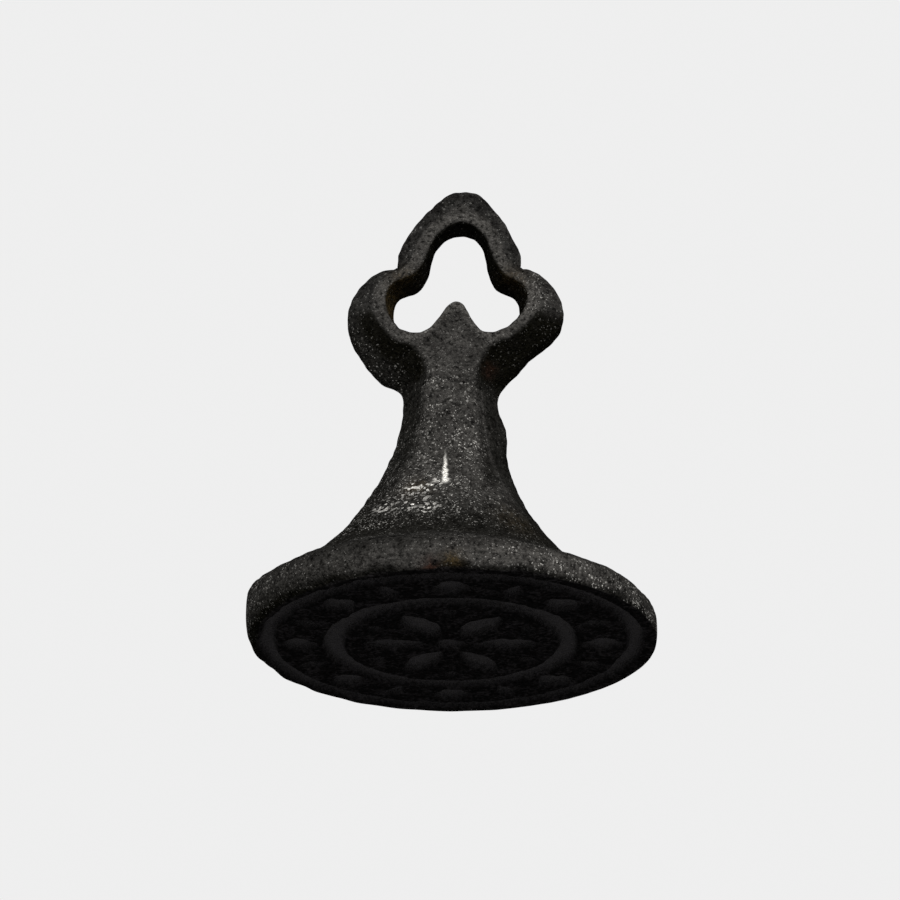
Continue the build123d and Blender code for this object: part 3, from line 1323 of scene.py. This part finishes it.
@dataclass(frozen=True)
class CastBronze:
    """Cast tin bronze under a dark grey patina of copper oxides.

    The skin of the sand casting stays granular, so the eye gets a matt, mottled dark grey with pits, and
    bare metal that shows as bright specks on the grains. An olive black stands for dirt in sheltered places
    and also paints shade in creases, under the arms and on sides turned from the lamps, and handling leaves
    the edges paler.
    """

    name: str = "cast_bronze_dark_patina"
    dark: str = "#1A1918"
    pale: str = "#353432"
    pit: str = "#0B0A0A"
    # Olive black for dirt, and painted shade where the traits darken creases and shaded sides.
    grime_and_shade: str = "#0F0E0A"
    worn: str = "#4B4946"
    # Painted shade: the engraved face's ground, crumbs and residue are set darker than their own colours.
    ground: str = "#131212"
    crumbs: str = "#272526"
    residue: str = "#413F40"
    rust: str = "#38231B"
    ochre: str = "#3E331F"
    # Bare metal of the specks and flecks, and of the stem's streak, which is a painted highlight.
    metal: str = "#E6E3DC"
    mottle_mm: float = 0.9
    lump_mm: float = 0.24
    speck_mm: float = 0.06
    grain_mm: float = 0.11
    fleck_mm: float = 0.17
    relief_mm: float = 0.2
    roughness: float = 0.7
    bare_roughness: float = 0.35
    gloss: float = 0.0

    def material(self) -> bpy.types.Material:
        """Builds the node tree: the patina shaded by its grains, with bare metal over it.

        Returns:
            The material.
        """
        made = bpy.data.materials.new(self.name)
        tree = blank_tree(made)
        place = add_node(tree, "TexCoord")["Object"]
        mottle, lumps = (
            add_node(
                tree,
                "TexNoise",
                {"Vector": place, "Scale": per_metre(size), "Detail": 4.0, "Roughness": 0.6},
            )["Fac"]
            for size in (self.mottle_mm, self.lump_mm)
        )
        traits = {trait: add_node(tree, "Attribute", attribute_name=trait.value)["Fac"] for trait in Trait}
        bare, grains, tone = self.bare_metal(tree, place, mottle, traits)
        colour = self.patina(tree, mottle, lumps, traits)
        # Grains and lumps darken and lighten the patina, and do so less on the residue in the marks.
        spread = add_node(
            tree,
            "MapRange",
            {"Value": lumps, "From Min": 0.32, "From Max": 0.68, "To Min": 0.3, "To Max": 0.9},
        )["Result"]
        shading = add_node(tree, "Math", {0: tone, 1: 0.8, 2: spread}, operation="MULTIPLY_ADD")[0]
        grainy = add_node(
            tree, "Math", {0: traits[Trait.RESIDUE], 1: -0.6, 2: 1.0}, operation="MULTIPLY_ADD"
        )[0]
        colour = add_node(
            tree,
            "Mix",
            {MIX_SHARE: grainy, MIX_UNDER: colour, MIX_OVER: shading},
            data_type="RGBA",
            blend_type="MULTIPLY",
        )[MIXED]
        colour = add_node(
            tree,
            "Mix",
            {MIX_SHARE: bare, MIX_UNDER: colour, MIX_OVER: linear_colour(self.metal)},
            data_type="RGBA",
        )[MIXED]
        rough = add_node(
            tree, "MapRange", {"Value": bare, "To Min": self.roughness, "To Max": self.bare_roughness}
        )["Result"]
        relief = add_node(tree, "Math", {0: grains, 1: -0.45, 2: lumps}, operation="MULTIPLY_ADD")[0]
        bump = add_node(
            tree, "Bump", {"Strength": 1.0, "Distance": self.relief_mm * MM, "Height": relief}
        )["Normal"]
        shader = add_node(
            tree,
            "BsdfPrincipled",
            {
                "Base Color": colour,
                "Metallic": bare,
                "Roughness": rough,
                "Specular IOR Level": self.gloss,
                "Normal": bump,
            },
        )["BSDF"]
        add_node(tree, "OutputMaterial", {"Surface": shader})
        return made

    def patina(
        self,
        tree: bpy.types.NodeTree,
        mottle: bpy.types.NodeSocket,
        lumps: bpy.types.NodeSocket,
        traits: Sockets,
    ) -> bpy.types.NodeSocket:
        """Colour of the patina: mottled grey with pits, then each trait's colour with a broken edge.

        Args:
            tree: node tree of the material.
            mottle: slow noise.
            lumps: quick noise.
            traits: the surface's own traits.

        Returns:
            The colour.
        """
        shade = add_node(tree, "MapRange", {"Value": mottle, "From Min": 0.33, "From Max": 0.67})["Result"]
        swing = add_node(tree, "Math", {0: mottle, 1: 1.6, 2: 0.2}, operation="MULTIPLY_ADD")[0]
        pits = add_node(
            tree, "MapRange", {"Value": lumps, "From Min": 0.46, "From Max": 0.30, "To Max": 0.85}
        )["Result"]
        patches = add_node(tree, "Math", {0: mottle, 1: 1.2, 2: lumps}, operation="MULTIPLY_ADD")[0]
        crumbs = add_node(tree, "MapRange", {"Value": patches, "From Min": 1.06, "From Max": 1.3})["Result"]
        broken = add_node(tree, "Math", {0: lumps, 1: 3.0, 2: -0.8}, operation="MULTIPLY_ADD")[0]
        layers = [
            (shade, 1.0, self.pale),
            (traits[Trait.WEAR], swing, self.worn),
            (pits, 1.0, self.pit),
            (traits[Trait.GRIME_AND_SHADE], swing, self.grime_and_shade),
            (traits[Trait.RUST], broken, self.rust),
            (traits[Trait.OCHRE], broken, self.ochre),
            (traits[Trait.GROUND], 1.0, self.ground),
            (traits[Trait.GROUND], crumbs, self.crumbs),
            (traits[Trait.RESIDUE], 1.0, self.residue),
        ]
        colour = linear_colour(self.dark)
        for cover, edge, code in layers:
            share = add_node(tree, "Math", {0: cover, 1: edge}, operation="MULTIPLY", use_clamp=True)[0]
            colour = add_node(
                tree,
                "Mix",
                {MIX_SHARE: share, MIX_UNDER: colour, MIX_OVER: linear_colour(code)},
                data_type="RGBA",
            )[MIXED]
        return colour

    def bare_metal(
        self,
        tree: bpy.types.NodeTree,
        place: bpy.types.NodeSocket,
        mottle: bpy.types.NodeSocket,
        traits: Sockets,
    ) -> tuple[bpy.types.NodeSocket, bpy.types.NodeSocket, bpy.types.NodeSocket]:
        """Share of bare metal, as specks, flecks and a streak that is a painted highlight.

        Each grain has a random number from 0 to 1. It starts to shine where that number and a density times
        the trait pass 1 together, and shines fully where they pass 1 by the softness.

        Args:
            tree: node tree of the material.
            place: position on the object.
            mottle: slow noise, which gathers the specks.
            traits: the surface's own traits.

        Returns:
            The share of bare metal, the distance from each grain's middle, and its second random number.
        """
        gather = add_node(
            tree, "MapRange", {"Value": mottle, "From Min": 0.35, "From Max": 0.6, "To Min": 0.35}
        )["Result"]
        glint = add_node(tree, "Math", {0: traits[Trait.GLINT], 1: gather}, operation="MULTIPLY")[0]
        specks = 0.0
        # Real grains are about half this size, which would not show.
        # The last ones also give the relief and the tone.
        for size, weight, density, softness in (
            (self.fleck_mm, traits[Trait.FLECK], 0.38, 0.35),
            (self.speck_mm, glint, 0.20, 0.21),
            (self.grain_mm, glint, 0.06, 0.09),
        ):
            cells = add_node(tree, "TexVoronoi", {"Vector": place, "Scale": per_metre(size)})
            numbers = add_node(tree, "SeparateColor", {"Color": cells["Color"]})
            over = add_node(
                tree, "Math", {0: weight, 1: density, 2: numbers["Red"]}, operation="MULTIPLY_ADD"
            )[0]
            share = add_node(
                tree, "MapRange", {"Value": over, "From Min": 1.0, "From Max": 1.0 + softness}
            )["Result"]
            specks = add_node(tree, "Math", {0: share, 1: specks}, operation="MAXIMUM")[0]
        hidden = add_node(
            tree,
            "Math",
            {0: traits[Trait.GRIME_AND_SHADE], 1: 0.6, 2: traits[Trait.GROUND]},
            operation="MULTIPLY_ADD",
            use_clamp=True,
        )[0]
        clear = add_node(tree, "Math", {0: 1.0, 1: hidden}, operation="SUBTRACT")[0]
        specks = add_node(tree, "Math", {0: specks, 1: clear}, operation="MULTIPLY")[0]
        bare = add_node(tree, "Math", {0: specks, 1: traits[Trait.PAINTED_HIGHLIGHT]}, operation="MAXIMUM")[0]
        return bare, cells["Distance"], numbers["Green"]


@dataclass(frozen=True)
class Studio:
    """Pale floor, soft lamps, pale surroundings and the camera, which looks up at the seal from below.

    Each sun has a name, a heading and a height in degrees, and a strength.
    """

    floor_radius: float = 900.0
    floor_hole: float = 9.0
    floor_drop: float = 0.02
    floor_rows: int = 12
    floor_columns: int = 128
    floor_colour: str = "#E4E2DE"
    fill: float = 0.3
    background: float = 0.86
    background_colour: str = "#FFFFFF"
    softness: float = 30.0
    suns: tuple[tuple[str, float, float, float], ...] = (
        ("key", -84.0, 15.0, 2.2),
        ("rear", 96.0, 20.0, 2.0),
        ("left", 190.0, 25.0, 1.0),
        ("right", -5.0, 25.0, 0.8),
        ("top", -60.0, 80.0, 0.6),
    )
    lens: float = 100.0
    sensor: float = 36.0
    near_limit: float = 1.0
    camera_place: Point = (-0.07, -124.9, -46.4)
    camera_pitch: float = 24.85

    def floor(self) -> None:
        """Flat ring round the die's face, solid when seen from above and clear from below."""
        radius = np.geomspace(self.floor_radius, self.floor_hole, self.floor_rows)[:, None]
        mesh = ring_mesh("floor", polar(radius, full_turn(self.floor_columns), -self.floor_drop))
        mesh.materials.append(self.floor_material())
        add_object("floor", mesh)

    def floor_material(self) -> bpy.types.Material:
        """Pale matt paper for the eye and for reflections; the rear side and all other light pass through.

        Returns:
            The material.
        """
        made = bpy.data.materials.new("matt_paper")
        tree = blank_tree(made)
        path = add_node(tree, "LightPath")
        seen = add_node(
            tree, "Math", {0: path["Is Camera Ray"], 1: path["Is Glossy Ray"]}, operation="MAXIMUM"
        )[0]
        rear = add_node(tree, "NewGeometry")["Backfacing"]
        front = add_node(tree, "Math", {0: 1.0, 1: rear}, operation="SUBTRACT")[0]
        share = add_node(tree, "Math", {0: seen, 1: front}, operation="MULTIPLY")[0]
        clear = add_node(tree, "BsdfTransparent")["BSDF"]
        paper = add_node(tree, "BsdfDiffuse", {"Color": linear_colour(self.floor_colour)})["BSDF"]
        shown = add_node(tree, "MixShader", {0: share, 1: clear, 2: paper})["Shader"]
        add_node(tree, "OutputMaterial", {"Surface": shown})
        return made

    def world(self) -> None:
        """Surroundings: pale for the eye and for reflections, and an even soft fill for everything else."""
        made = bpy.data.worlds.new("studio")
        tree = blank_tree(made)
        path = add_node(tree, "LightPath")
        seen = path["Is Camera Ray"]
        for kind in ("Is Glossy Ray", "Is Transmission Ray"):
            seen = add_node(tree, "Math", {0: seen, 1: path[kind]}, operation="MAXIMUM")[0]
        level = add_node(
            tree, "MapRange", {"Value": seen, "To Min": self.fill, "To Max": self.background}
        )["Result"]
        shine = add_node(
            tree, "Background", {"Color": linear_colour(self.background_colour), "Strength": level}
        )["Background"]
        add_node(tree, "OutputWorld", {"Surface": shine})
        bpy.context.scene.world = made

    def lamps(self) -> None:
        """Soft far lamps, each a wide disc in the sky.

        A surface that faces one of strength pi is lit as its colour is written.
        """
        for name, heading, height, strength in self.suns:
            light = bpy.data.lights.new(name, "SUN")
            light.energy = strength
            light.angle = radians(self.softness)
            made = add_object(name, light)
            made.rotation_euler = (radians(90.0 - height), 0.0, radians(heading + 90.0))

    def camera(self) -> None:
        """Camera with the stated lens and sensor, pitched up towards the seal."""
        optics = bpy.data.cameras.new("camera")
        optics.lens = self.lens
        optics.sensor_width = self.sensor
        optics.clip_start = self.near_limit * MM
        made = add_object("camera", optics)
        made.location = tuple(np.array(self.camera_place) * MM)
        made.rotation_euler = (radians(90.0 + self.camera_pitch), 0.0, 0.0)
        bpy.context.scene.camera = made

    def build(self) -> None:
        """Sets up everything round the seal."""
        self.floor()
        self.world()
        self.lamps()
        self.camera()
        bpy.context.scene.view_settings.view_transform = "Standard"


def main() -> None:
    """Builds the pieces in order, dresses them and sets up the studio."""
    logging.basicConfig(level=logging.INFO, format="%(message)s")
    casting = Casting()
    stem = Stem(casting)
    die = DiePlate(casting)
    bronze = CastBronze().material()
    filler = CastBronze(name="brazing_filler_dark_patina", pale="#393836", worn="#504E4A").material()
    finishes = [
        (die, bronze),
        (stem, bronze),
        (TrefoilLoop(casting, stem), bronze),
        (FootBraze(casting, stem, die), filler),
        (LoopBraze(casting, stem), filler),
    ]
    for part, finish in finishes:
        made = part.piece().build(finish)
        log.info("%s: %d faces", made.name, len(made.data.polygons))
    Studio().build()


if __name__ == "__main__":
    main()
